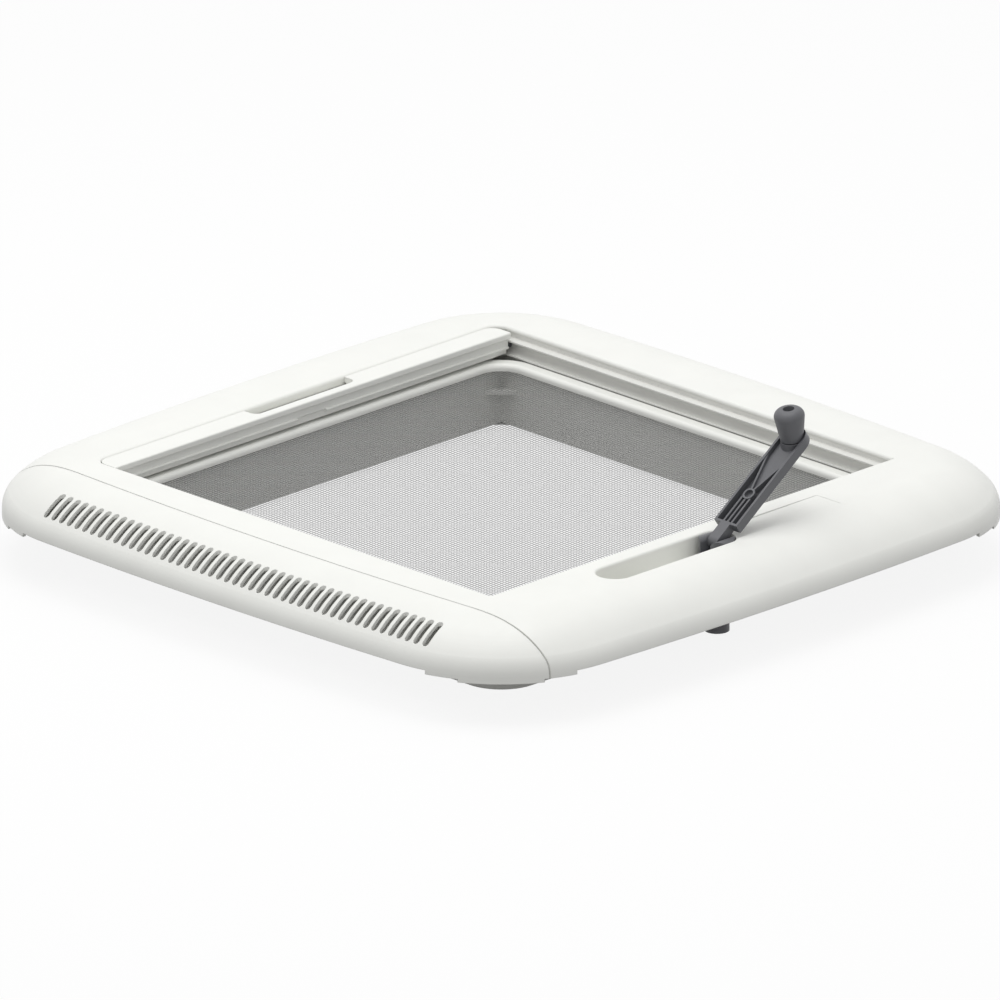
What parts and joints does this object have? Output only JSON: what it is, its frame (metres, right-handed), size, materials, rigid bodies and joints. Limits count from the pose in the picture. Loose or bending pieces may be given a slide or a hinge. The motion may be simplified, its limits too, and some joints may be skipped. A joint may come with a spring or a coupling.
{
  "type": "caravan roof vent",
  "caption": "Room-side unit of a caravan roof vent: bullnosed white surround with a slotted end cover, a flyscreen, a sliding pleated blind with a pull bar, and a folding winding crank.",
  "frame": {"origin": "the middle of the collar's lower edge, midway between the sides of the surround", "axes": "+Z out of the room face (up as it lies in the picture), -Y towards the crank's side, -X towards the slotted end cover, +Y towards the pull bar"},
  "size_m": [0.5, 0.5, 0.1309],
  "materials": {
    "white_shell": "satin moulded white",
    "inner_white": "matt moulded white",
    "grey_plastic": "satin moulded dark grey",
    "acetal": "natural, smooth",
    "steel": "zinc plated",
    "net": "woven fly net",
    "spline_rubber": "soft cord",
    "blind_cloth": "pleated coated cloth"
  },
  "bodies": {
    "frame": {"surround_frame": "white_shell", "vent_end_cover": "white_shell", "roof_collar": "inner_white", "inner_liner": "inner_white", "guide_rail_left": "inner_white", "guide_rail_right": "inner_white", "blind_cassette": "inner_white", "bar_catch": "grey_plastic", "flyscreen_frame": "white_shell", "flyscreen_mesh": "net", "screen_spline": "spline_rubber", "spindle_carrier": "grey_plastic", "spindle_bush": "acetal", "carrier_screws": "steel", "frame_screws": "steel", "pleated_blind": "blind_cloth"},
    "spindle": {"crank_hub": "grey_plastic", "drive_spindle": "grey_plastic", "thrust_washer": "steel", "retaining_clip": "steel", "hinge_pin": "steel", "detent_spring": "steel"},
    "arm": {"crank_arm": "grey_plastic", "knob_axle": "steel"},
    "knob": {"crank_knob": "grey_plastic"},
    "bar": {"pull_bar_grip": "white_shell", "pull_bar_body": "white_shell", "bar_slider_left": "grey_plastic", "bar_slider_right": "grey_plastic", "bar_screws": "steel"}
  },
  "joints": [
    {"name": "crank_turn", "type": "hinge", "parent": "frame", "child": "spindle", "pos_m": [0, -0.1896, 0.05], "axis": [0, 0, 1], "range_deg": [0, 2520]},
    {"name": "crank_fold", "type": "hinge", "parent": "spindle", "child": "arm", "pos_m": [0, -0.1896, 0.0585], "axis": [0, -1, 0], "range_deg": [0, 144.5]},
    {"name": "knob_spin", "type": "hinge", "parent": "arm", "child": "knob", "pos_m": [0.06588, -0.1896, 0.10942], "axis": [-0.1478, 0, 0.989], "continuous": true},
    {"name": "blind_slide", "type": "slide", "parent": "frame", "child": "bar", "axis": [0, -1, 0], "range_m": [0, 0.329], "deforming": ["pleated_blind"]}
  ]
}
